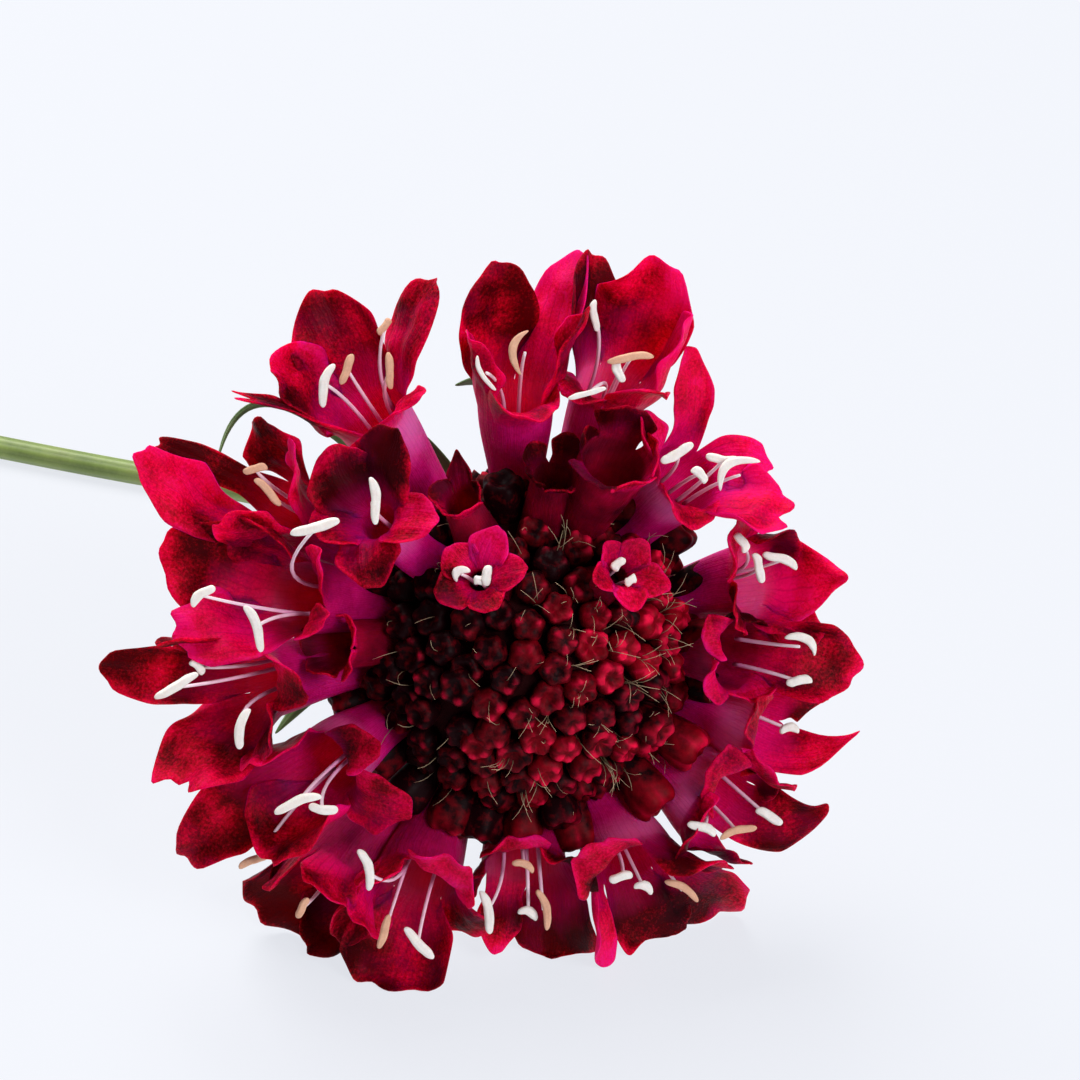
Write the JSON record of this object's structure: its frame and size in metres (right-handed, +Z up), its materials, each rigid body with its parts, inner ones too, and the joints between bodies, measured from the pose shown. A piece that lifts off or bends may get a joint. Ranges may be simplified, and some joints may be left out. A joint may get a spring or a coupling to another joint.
{
  "type": "scabiosa flower",
  "caption": "Cut pincushion flower lying on its side: a domed head of buds ringed by open crimson florets, green bracts and one bare stem.",
  "frame": {"origin": "centre of the whole flower's outline on the surface that it lies on", "axes": "+Z up from the surface; +X along the flower's length, from the stem's cut end towards the head; the head faces -Y and a little up"},
  "size_m": [0.1586, 0.1023, 0.0554],
  "materials": {
    "petals": "soft satin petal, dark crimson to magenta",
    "bracts": "finely haired dull green",
    "stem": "satin yellow-green, finely ribbed"
  },
  "bodies": {
    "root": {"flower_head": "petals", "involucre": "bracts", "stem": "stem"}
  },
  "joints": []
}
